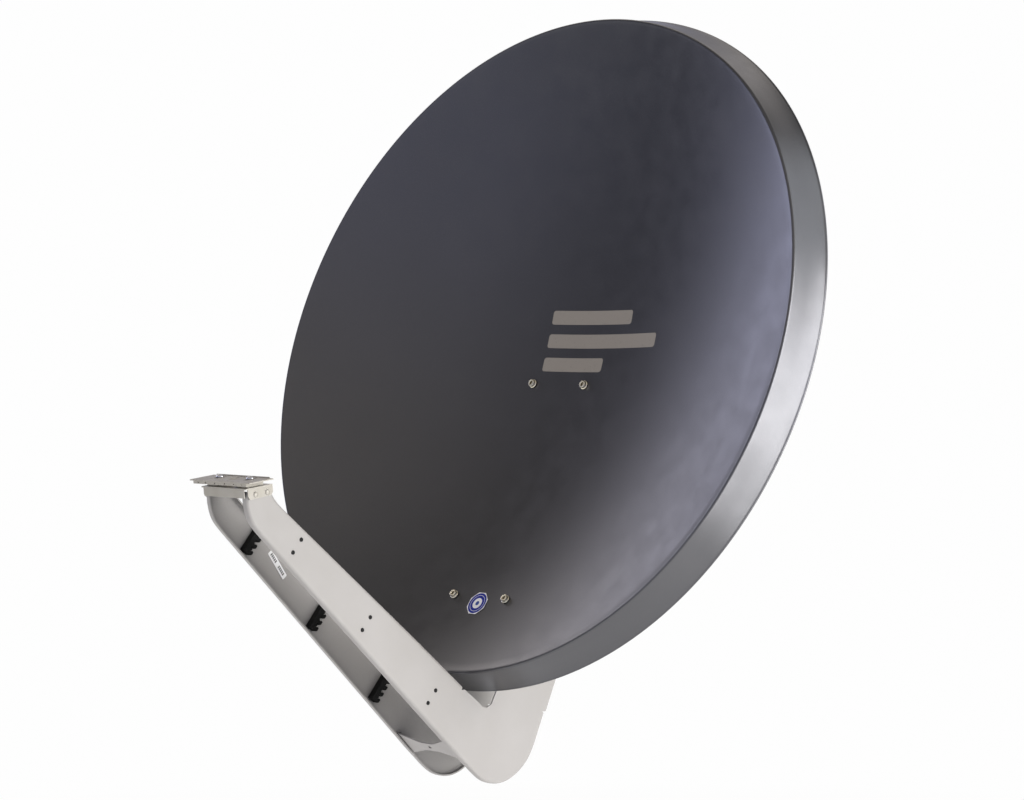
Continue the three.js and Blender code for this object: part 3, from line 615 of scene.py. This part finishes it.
def axis_frame(node, direction):
    """Frame of a CAD fastener: local z runs along direction from the near end, and its length."""
    forward = Vector(direction).normalized()
    turn = forward.to_track_quat("Z", "Y").to_matrix()
    columns = [turn.col[n] for n in range(3)]
    points = [vertex.co for vertex in NODES[node].data.vertices]
    spans = []
    for column in columns:
        along = [point.dot(column) for point in points]
        spans.append((min(along), max(along)))
    middle = [sum(span) / 2 for span in spans[:2]]
    origin = columns[0] * middle[0] + columns[1] * middle[1] + columns[2] * spans[2][0]
    return Matrix.Translation(origin) @ turn.to_4x4(), spans[2][1] - spans[2][0]


def add_fastener(node, rings, place, finish, ends="capped"):
    bm = bmesh.new()
    skin(bm, [[place @ point for point in ring] for ring in rings], ends)
    add_piece(node + "_fine", bm, finish, BODY_OF[node], [node], sharp_deg=40)


def socket_bolt_rings(length):
    """Flanged round head with a hexagon socket, and a threaded shank; from the head's top."""
    flange, head, shank, socket = 6.2 * MM, 5.0 * MM, 2.5 * MM, 2.5 * MM
    rings = [station(2.9 * MM, 0.3 * MM, 6), station(2.8 * MM, socket * 0.9, 6)]
    rings += [station(0.5 * MM, socket, 6), station(0.1 * MM, socket + 0.3 * MM, 6)]
    rings += [station(0, 3.2 * MM), station(0, 4.3 * MM), station(0.25 * MM, 4.8 * MM)]
    rings += [station(0.8 * MM, head), station(3.2 * MM, head), station(3.7 * MM, 5.2 * MM)]
    rings += [station(4.0 * MM, 6.0 * MM), station(4.25 * MM, flange)]
    rings += [station(4.75 * MM, flange), station(4.9 * MM, 6.0 * MM), station(4.9 * MM, shank)]
    rings += thread(6.5 * MM, length - 0.6 * MM, shank, 0.8 * MM)
    rings += [station(length, 1.7 * MM)]
    return rings


def nut_rings(across_flats, bore, height, washer=None):
    """A hexagon nut with chamfered corners and, optionally, a round flange at its near end."""
    flat = across_flats / 2
    corner = flat / math.cos(math.pi / 6)
    rings = []
    if washer:
        rings += [station(0, washer - 0.3 * MM), station(0.4 * MM, washer), station(1.0 * MM, washer)]
        rings += [station(1.6 * MM, corner + 0.1 * MM), station(2.0 * MM, flat, 6)]
    else:
        rings += [station(0, flat, 6, clip=flat * 1.03), station(0.8 * MM, flat, 6)]
    rings += [station(height - 0.9 * MM, flat, 6)]
    rings += [station(height, flat, 6, clip=flat)]
    rings += [station(height, bore + 0.5 * MM), station(height - 0.5 * MM, bore)]
    rings += [station(0.5 * MM, bore), station(0, bore + 0.5 * MM)]
    return rings


def build_reflector_fasteners():
    for row, z in BOLT_ROWS.items():
        backward = face_frame(0, z).to_3x3() @ Vector((0, 0, 1))
        for side in SIDES:
            bolt = f"reflector_bolt_{row}_{side}"
            place, length = axis_frame(bolt, backward)
            add_fastener(bolt, socket_bolt_rings(length), place, "yellow_zinc")
            nut = f"reflector_nut_{row}_{side}"
            place, length = axis_frame(nut, backward)
            add_fastener(nut, nut_rings(8 * MM, 2.8 * MM, length), place, "zinc", "joined")


def build_pivot_fasteners():
    place, length = axis_frame("pivot_bolt", (-1, 0, 0))
    flat, washer, shank = 8.5 * MM, 11 * MM, 5 * MM
    rings = [station(0, flat * 0.9), station(0.3 * MM, flat, 6, clip=flat)]
    rings += [station(1.2 * MM, flat, 6), station(6 * MM, flat, 6)]
    rings += [station(6.2 * MM, 9.6 * MM), station(6.8 * MM, washer), station(7.8 * MM, washer)]
    rings += [station(8 * MM, washer - 0.3 * MM), station(8 * MM, shank)]
    rings += thread(length - 24 * MM, length - 1 * MM, shank, 1.25 * MM)
    rings += [station(length, shank - 1.2 * MM)]
    add_fastener("pivot_bolt", rings, place, "zinc")
    place, length = axis_frame("pivot_nut", (-1, 0, 0))
    add_fastener("pivot_nut", nut_rings(17 * MM, 5.3 * MM, length, washer), place, "zinc", "joined")
    place, length = axis_frame("pivot_spacer", (1, 0, 0))
    outer, bore, chamfer = 9 * MM, 5.4 * MM, 0.6 * MM
    rings = [station(0, outer - chamfer), station(chamfer, outer), station(length - chamfer, outer)]
    rings += [station(length, outer - chamfer), station(length, bore + chamfer)]
    rings += [station(length - chamfer, bore), station(chamfer, bore), station(0, bore + chamfer)]
    add_fastener("pivot_spacer", rings, place, "zinc", "joined")
    for side, sign in SIDES.items():
        bolt = f"lock_bolt_{side}"
        place, length = axis_frame(bolt, (-sign, 0, 0))
        flat, washer, shank = 6.5 * MM, 10 * MM, 4 * MM
        rings = [station(0, flat * 0.9), station(0.3 * MM, flat, 6, clip=flat)]
        rings += [station(1.1 * MM, flat, 6), station(5.2 * MM, flat, 6)]
        rings += [station(5.3 * MM, 7.6 * MM), station(5.9 * MM, washer), station(6.8 * MM, washer)]
        rings += [station(7 * MM, washer - 0.3 * MM), station(7 * MM, shank)]
        rings += thread(9 * MM, length - 0.8 * MM, shank, 1.25 * MM)
        rings += [station(length, shank - 1 * MM)]
        add_fastener(bolt, rings, place, "zinc")
        nut = f"lock_nut_{side}"
        place, length = axis_frame(nut, (-sign, 0, 0))
        add_fastener(nut, nut_rings(13 * MM, 4.3 * MM, length), place, "zinc", "joined")


def build_clamp_fasteners():
    for row in BOLT_ROWS:
        for side in SIDES:
            bolt = f"clamp_bolt_{row}_{side}"
            place, length = axis_frame(bolt, (0, 1, 0))
            head, shank, dome = 7.4 * MM, 4 * MM, 4.5 * MM
            rings = [
                station(dome * (1 - math.cos(turn)), head * math.sin(turn))
                for turn in (math.pi / 2 * i / 8 for i in range(1, 9))
            ]
            rings += [station(dome, shank, 4), station(dome + 2.9 * MM, shank, 4)]
            rings += [station(dome + 3.2 * MM, shank)]
            rings += thread(length - 34 * MM, length - 0.8 * MM, shank, 1.25 * MM)
            rings += [station(length, shank - 1 * MM)]
            add_fastener(bolt, rings, place, "zinc")
            nut = f"clamp_nut_{row}_{side}"
            place, length = axis_frame(nut, (0, 1, 0))
            rings = nut_rings(13 * MM, 4.35 * MM, length, 8.6 * MM)
            add_fastener(nut, rings, place, "zinc", "joined")


def build_feed_fasteners():
    rise = next(joint for joint in frame["joints"] if joint["name"] == "feed_slide")["axis"]
    down = Vector((0, rise[2], -rise[1]))  # square to the way that the feed plate slides
    for side in SIDES:
        screw = f"feed_screw_{side}"
        place, length = axis_frame(screw, down)
        slot_half, head, shank = 1.6 * MM, 4.8 * MM, 2.4 * MM
        rings = [station(1.6 * MM, 0.3 * MM, 6), station(1.5 * MM, slot_half, 6)]
        rings += [station(0.1 * MM, slot_half, 6), station(0, 2.4 * MM), station(0.3 * MM, 3.4 * MM)]
        rings += [station(1.0 * MM, 4.2 * MM), station(2.0 * MM, 4.65 * MM)]
        rings += [station(3.0 * MM, head), station(3.2 * MM, head - 0.2 * MM), station(3.2 * MM, shank)]
        rings += thread(4 * MM, length - 0.5 * MM, shank, 0.8 * MM)
        rings += [station(length, shank - 0.7 * MM)]
        add_fastener(screw, rings, place, "zinc")
        nut = f"feed_nut_{side}"
        place, length = axis_frame(nut, down)
        add_fastener(nut, nut_rings(8 * MM, 2.7 * MM, length), place, "zinc", "joined")


def rivet_rings(length, head, shank, tail_head, tail):
    """Domed head, shank and a flattened tail, from the head's top; tail is the far head's height."""
    dome = 1.8 * MM
    rings = [
        station(dome * (1 - math.cos(turn)), head * math.sin(turn) * 0.96)
        for turn in (math.pi / 2 * i / 6 for i in range(1, 7))
    ]
    rings += [station(dome, head), station(dome + 0.2 * MM, shank)]
    rings += [station(length - tail, shank), station(length - tail, tail_head)]
    rings += [station(length - 0.4 * MM, tail_head * 0.85), station(length, tail_head * 0.5)]
    return rings


def build_rivets():
    for side, sign in SIDES.items():
        for row in BOLT_ROWS:
            node = f"bracket_rivet_{row}_{side}"
            place, length = axis_frame(node, (-sign, 0, 0))
            add_fastener(node, rivet_rings(length, 4.5 * MM, 2.4 * MM, 4.1 * MM, 1.6 * MM), place, "zinc")
        for number in (1, 2):
            node = f"saddle_rivet_{side}_{number}"
            place, length = axis_frame(node, (-sign, 0, 0))
            rings = rivet_rings(length, 4.1 * MM, 2.2 * MM, 3.5 * MM, 1.4 * MM)
            add_fastener(node, rings, place, "head_paint")


build_reflector_fasteners()
build_pivot_fasteners()
build_clamp_fasteners()
build_feed_fasteners()
build_rivets()


# ---- sticker and label ----------------------------------------------------------------------
def build_sticker():
    """Thin eight-sided film that follows the curve of the face."""
    points = [vertex.co for vertex in NODES["reflector_sticker"].data.vertices]
    back = DISH.inverted()
    local = [back @ point for point in points]
    centre = (min(p.z for p in local) + max(p.z for p in local)) / 2
    half_width = max(p.x for p in local)
    half_height = max(p.z for p in local) - centre
    lift, film, turns, rounds = 0.5 * MM, 0.25 * MM, 64, 9
    rings = []
    for out, share_list in ((0, range(1, rounds + 1)), (film, range(rounds, 0, -1))):
        for k in share_list:
            ring = []
            for i in range(turns):
                angle = 2 * math.pi * i / turns
                part = math.pi / 4
                edge = math.cos(part / 2) / math.cos((angle + part / 2) % part - part / 2)
                x = half_width * edge * k / rounds * math.cos(angle)
                z = centre + half_height * edge * k / rounds * math.sin(angle)
                ring.append(DISH @ Vector((x, face_depth(x, z) - lift - out, z)))
            rings.append(ring)
    bm = bmesh.new()
    skin(bm, rings)
    film_piece = add_piece("reflector_sticker_film", bm, "blue_sticker", "head", ["reflector_sticker"])

    def to_share(point):
        here = back @ point
        return (here.x / half_width, (here.z - centre) / half_height)

    add_flat_coordinates(film_piece.data, to_share)


def build_label():
    """Thin film with rounded corners on the inner face of the left arm plate."""
    points = [vertex.co for vertex in NODES["arm_label"].data.vertices]
    low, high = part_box("arm_label")
    centre = (low + high) / 2
    longest = max(points, key=lambda p: (p - centre).length)
    nearest = sorted(points, key=lambda p: (p - longest).length)
    short = next(p for p in nearest if (p - longest).length > 3 * MM)
    across = (short - longest).normalized()
    outward = Vector((1, 0, 0))
    along = across.cross(outward).normalized()
    if along.y < 0:
        along = -along
    normal = along.cross(across).normalized()
    if normal.x < 0:
        normal = -normal
    half = (LABEL_LENGTH / 2 - 0.3 * MM, LABEL_WIDTH / 2 - 0.2 * MM)
    radius = 1.2 * MM
    outline = []
    for cx, cy, start in ((1, 1, 0), (-1, 1, 90), (-1, -1, 180), (1, -1, 270)):
        for i in range(7):
            angle = math.radians(start + 15 * i)
            x = cx * (half[0] - radius) + radius * math.cos(angle)
            y = cy * (half[1] - radius) + radius * math.sin(angle)
            outline.append((x, y))
    rings = []
    for out, share in ((0.14, 0.02), (0.14, 1), (-0.06, 1), (-0.06, 0.02)):
        rings.append(
            [centre + along * (x * share) + across * (y * share) + normal * (out * MM) for x, y in outline]
        )
    bm = bmesh.new()
    skin(bm, rings)
    piece = add_piece("arm_label_film", bm, "white_label", "head", ["arm_label"])

    def to_label(point):
        offset = point - centre
        return (offset.dot(along), offset.dot(across))

    add_flat_coordinates(piece.data, to_label)


build_sticker()
build_label()


# ---- finishes on the CAD pieces that stay -----------------------------------------------------
def rounded_shading():
    """Node group that shades a CAD mesh smooth across shallow edges."""
    group = bpy.data.node_groups.new("rounded_shading", "GeometryNodeTree")
    group.interface.new_socket("Geometry", in_out="INPUT", socket_type="NodeSocketGeometry")
    group.interface.new_socket("Geometry", in_out="OUTPUT", socket_type="NodeSocketGeometry")
    start = group.nodes.new("NodeGroupInput")
    end = group.nodes.new("NodeGroupOutput")
    whole = group.nodes.new("GeometryNodeSetShadeSmooth")
    whole.inputs["Shade Smooth"].default_value = True
    edges = group.nodes.new("GeometryNodeSetShadeSmooth")
    edges.domain = "EDGE"
    angle = group.nodes.new("GeometryNodeInputMeshEdgeAngle")
    shallow = group.nodes.new("FunctionNodeCompare")
    shallow.operation = "LESS_THAN"
    shallow.inputs[1].default_value = math.radians(40)
    link = group.links.new
    link(start.outputs[0], whole.inputs["Geometry"])
    link(whole.outputs[0], edges.inputs["Geometry"])
    link(angle.outputs["Unsigned Angle"], shallow.inputs[0])
    link(shallow.outputs[0], edges.inputs["Shade Smooth"])
    link(edges.outputs[0], end.inputs[0])
    return group


SHADING = rounded_shading()
CAD_FINISHES = {
    "arm_plate_left": ("arm_paint", 0.35),
    "arm_plate_right": ("arm_paint", 0.35),
    "arm_cross_web": ("arm_paint", 0.3),
    "feed_saddle": ("head_paint", 0.3),
    "feed_plate": ("head_paint", 0.3),
    "mast_bracket": ("galvanised", 0.5),
    "reflector_bracket_upper": ("galvanised", 0.4),
    "reflector_bracket_lower": ("galvanised", 0.4),
    "clamp_jaw_upper": ("galvanised", 0.4),
    "clamp_jaw_lower": ("galvanised", 0.4),
    **{f"cable_clip_{side}_{row}": ("black_plastic", 0.3) for side in SIDES for row in (1, 2, 3)},
}


def finish_cad_node(name, finish, round_mm):
    node = NODES[name]
    node.data.materials.clear()
    node.data.materials.append(FINISHES[finish])
    weld = node.modifiers.new("weld", "WELD")
    weld.merge_threshold = 0.002 * MM
    flat = node.modifiers.new("flat_faces", "DECIMATE")
    flat.decimate_type = "DISSOLVE"
    flat.angle_limit = math.radians(0.6)
    round_off = node.modifiers.new("rounded_edges", "BEVEL")
    round_off.width = round_mm * MM
    round_off.segments = 2
    round_off.limit_method = "ANGLE"
    round_off.angle_limit = math.radians(42)
    shade = node.modifiers.new("shading", "NODES")
    shade.node_group = SHADING
    normals = node.modifiers.new("normals", "WEIGHTED_NORMAL")
    normals.keep_sharp = True


for name, (finish, round_mm) in CAD_FINISHES.items():
    finish_cad_node(name, finish, round_mm)


# ---- stage, light and camera ------------------------------------------------------------------
CAMERA_AZIMUTH = math.radians(43.08)
CAMERA_ELEVATION = math.radians(2.04)
TOWARDS_CAMERA = Vector(
    (
        math.sin(CAMERA_AZIMUTH) * math.cos(CAMERA_ELEVATION),
        -math.cos(CAMERA_AZIMUTH) * math.cos(CAMERA_ELEVATION),
        math.sin(CAMERA_ELEVATION),
    )
)
PALE = 0.99
FLOOR_DROP = 1.0  # the dish hangs on its mast, so the floor is well below it


def build_floor():
    """A round pale floor whose far part takes the tone of the background."""
    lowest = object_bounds()[0].z - FLOOR_DROP
    around = 96
    bm = bmesh.new()
    loops = []
    for reach in (0.2, 0.5, 1, 2, 3, 5, 8, 14, 30, 60):
        ring = []
        for i in range(around):
            angle = 2 * math.pi * i / around
            place = (reach * math.cos(angle), RIM_CENTRE.y + reach * math.sin(angle), lowest)
            ring.append(bm.verts.new(place))
        loops.append(ring)
    bm.faces.new(loops[0])
    for near, far in zip(loops, loops[1:]):
        for i in range(around):
            j = (i + 1) % around
            bm.faces.new((near[i], far[i], far[j], near[j]))
    mesh = bpy.data.meshes.new("floor")
    bm.to_mesh(mesh)
    bm.free()
    floor = bpy.data.objects.new("floor", mesh)
    bpy.context.scene.collection.objects.link(floor)
    paint = Paint("pale_floor")
    paint.finish(paint.ramp(paint.noise(3), [(0.3, grey(0.60)), (0.7, grey(0.63))]), 0.9)
    paint.feed(paint.shader, {"Emission Color": grey(1.0), "Emission Strength": 0.55})
    glow = paint.feed(paint.add("ShaderNodeEmission"), {"Color": grey(PALE), "Strength": 1.0})
    far = paint.between(paint.length(paint.place), 2.0, 6.0)
    blend = paint.add("ShaderNodeMixShader")
    paint.feed(blend, {0: far, 1: paint.shader.outputs[0], 2: glow.outputs[0]})
    output = next(node for node in paint.tree.nodes if node.type == "OUTPUT_MATERIAL")
    paint.feed(output, {"Surface": blend.outputs[0]})
    mesh.materials.append(paint.material)


# Brightness of the room against the cosine of the angle from straight behind the dish: a dim
# room on the camera's side, a bright wall to the left and a dimmer one right behind.
ROOM_TONES = [
    (-1.0, 0.50),
    (-0.4, 0.42),
    (0.0, 0.20),
    (0.18, 0.10),
    (0.30, 0.16),
    (0.42, 0.68),
    (0.54, 1.65),
    (0.68, 2.7),
    (0.80, 1.0),
    (0.94, 0.8),
    (1.0, 2.4),
]
ROOM_PEAK = 2.7
COOL = (0.97, 1.0, 1.34, 1)
WARM = (1.28, 1.19, 1.10, 1)
BEHIND = 0.4  # how bright the room is behind the dish, against the room beside it


def build_world():
    """Pale to the camera; to everything else, a studio that is cool below and warm above."""
    world = bpy.data.worlds.new("studio")
    bpy.context.scene.world = world
    world.use_nodes = True
    tree = world.node_tree
    link = tree.links.new

    def ramp(source, low, stops):
        """A colour ramp over a source that runs from low to 1."""
        share = tree.nodes.new("ShaderNodeMapRange")
        share.inputs["From Min"].default_value = low
        link(source, share.inputs["Value"])
        node = tree.nodes.new("ShaderNodeValToRGB")
        link(share.outputs[0], node.inputs["Fac"])
        elements = node.color_ramp.elements
        while len(elements) < len(stops):
            elements.new(0.5)
        for element, (place, colour) in zip(elements, stops):
            element.position = (place - low) / (1 - low)
            element.color = colour
        return node.outputs["Color"]

    direction = tree.nodes.new("ShaderNodeTexCoord").outputs["Generated"]
    dot = tree.nodes.new("ShaderNodeVectorMath")
    dot.operation = "DOT_PRODUCT"
    link(direction, dot.inputs[0])
    dot.inputs[1].default_value = -TOWARDS_CAMERA
    stops = [(cosine, grey(tone / ROOM_PEAK)) for cosine, tone in ROOM_TONES]
    tone = ramp(dot.outputs["Value"], -1, stops)
    parts = tree.nodes.new("ShaderNodeSeparateXYZ")
    link(direction, parts.inputs[0])
    tint = ramp(parts.outputs["Z"], 0, [(0.2, COOL), (0.65, WARM)])
    dimmed = ramp(parts.outputs["Y"], 0, [(0.1, grey(1)), (0.5, grey(BEHIND))])
    both = tree.nodes.new("ShaderNodeVectorMath")
    both.operation = "MULTIPLY"
    link(tone, both.inputs[0])
    link(tint, both.inputs[1])
    room_colour = tree.nodes.new("ShaderNodeVectorMath")
    room_colour.operation = "MULTIPLY"
    link(both.outputs[0], room_colour.inputs[0])
    link(dimmed, room_colour.inputs[1])
    room = tree.nodes["Background"]
    room.inputs["Strength"].default_value = ROOM_PEAK
    link(room_colour.outputs[0], room.inputs["Color"])
    seen = tree.nodes.new("ShaderNodeBackground")
    seen.inputs["Color"].default_value = grey(PALE)
    path = tree.nodes.new("ShaderNodeLightPath")
    choose = tree.nodes.new("ShaderNodeMixShader")
    link(path.outputs["Is Camera Ray"], choose.inputs[0])
    link(room.outputs[0], choose.inputs[1])
    link(seen.outputs[0], choose.inputs[2])
    link(choose.outputs[0], tree.nodes["World Output"].inputs["Surface"])


def add_softbox(name, position, width, height, power, colour):
    data = bpy.data.lights.new(name, "AREA")
    data.shape = "RECTANGLE"
    data.size = width
    data.size_y = height
    data.energy = power
    data.color = colour
    light = bpy.data.objects.new(name, data)
    bpy.context.scene.collection.objects.link(light)
    light.location = RIM_CENTRE + Vector(position)
    light.rotation_mode = "QUATERNION"
    light.rotation_quaternion = (-Vector(position)).to_track_quat("-Z", "Y")
    light.visible_camera = False


CAMERA_DISTANCE = 4.026
CAMERA_SHIFT = (-11.3 * MM, -84.9 * MM)  # across and up, from the line through the rim centre
LENS = 103.85
WARM_LAMP = (1.0, 0.985, 0.965)
COOL_LAMP = (0.94, 0.97, 1.0)


def build_camera():
    back = TOWARDS_CAMERA
    right = Vector((math.cos(CAMERA_AZIMUTH), math.sin(CAMERA_AZIMUTH), 0))
    up = back.cross(right)
    data = bpy.data.cameras.new("camera")
    data.lens = LENS
    data.sensor_width = 36
    data.clip_end = 200
    camera = bpy.data.objects.new("camera", data)
    bpy.context.scene.collection.objects.link(camera)
    camera.location = (
        RIM_CENTRE + back * CAMERA_DISTANCE + right * CAMERA_SHIFT[0] + up * CAMERA_SHIFT[1]
    )
    turn = Matrix((right, up, back)).transposed()
    camera.rotation_mode = "QUATERNION"
    camera.rotation_quaternion = turn.to_quaternion()
    bpy.context.scene.camera = camera


build_floor()
build_world()
add_softbox("key_softbox", (2.12, 0.44, 0.16), 1.0, 1.75, 38, WARM_LAMP)
add_softbox("low_softbox", (1.85, 0.2, -0.95), 0.9, 0.8, 9, WARM_LAMP)
add_softbox("upper_softbox", (1.45, 1.15, 1.3), 1.2, 1.2, 7, COOL_LAMP)
build_camera()
bpy.context.scene.view_settings.view_transform = "Standard"
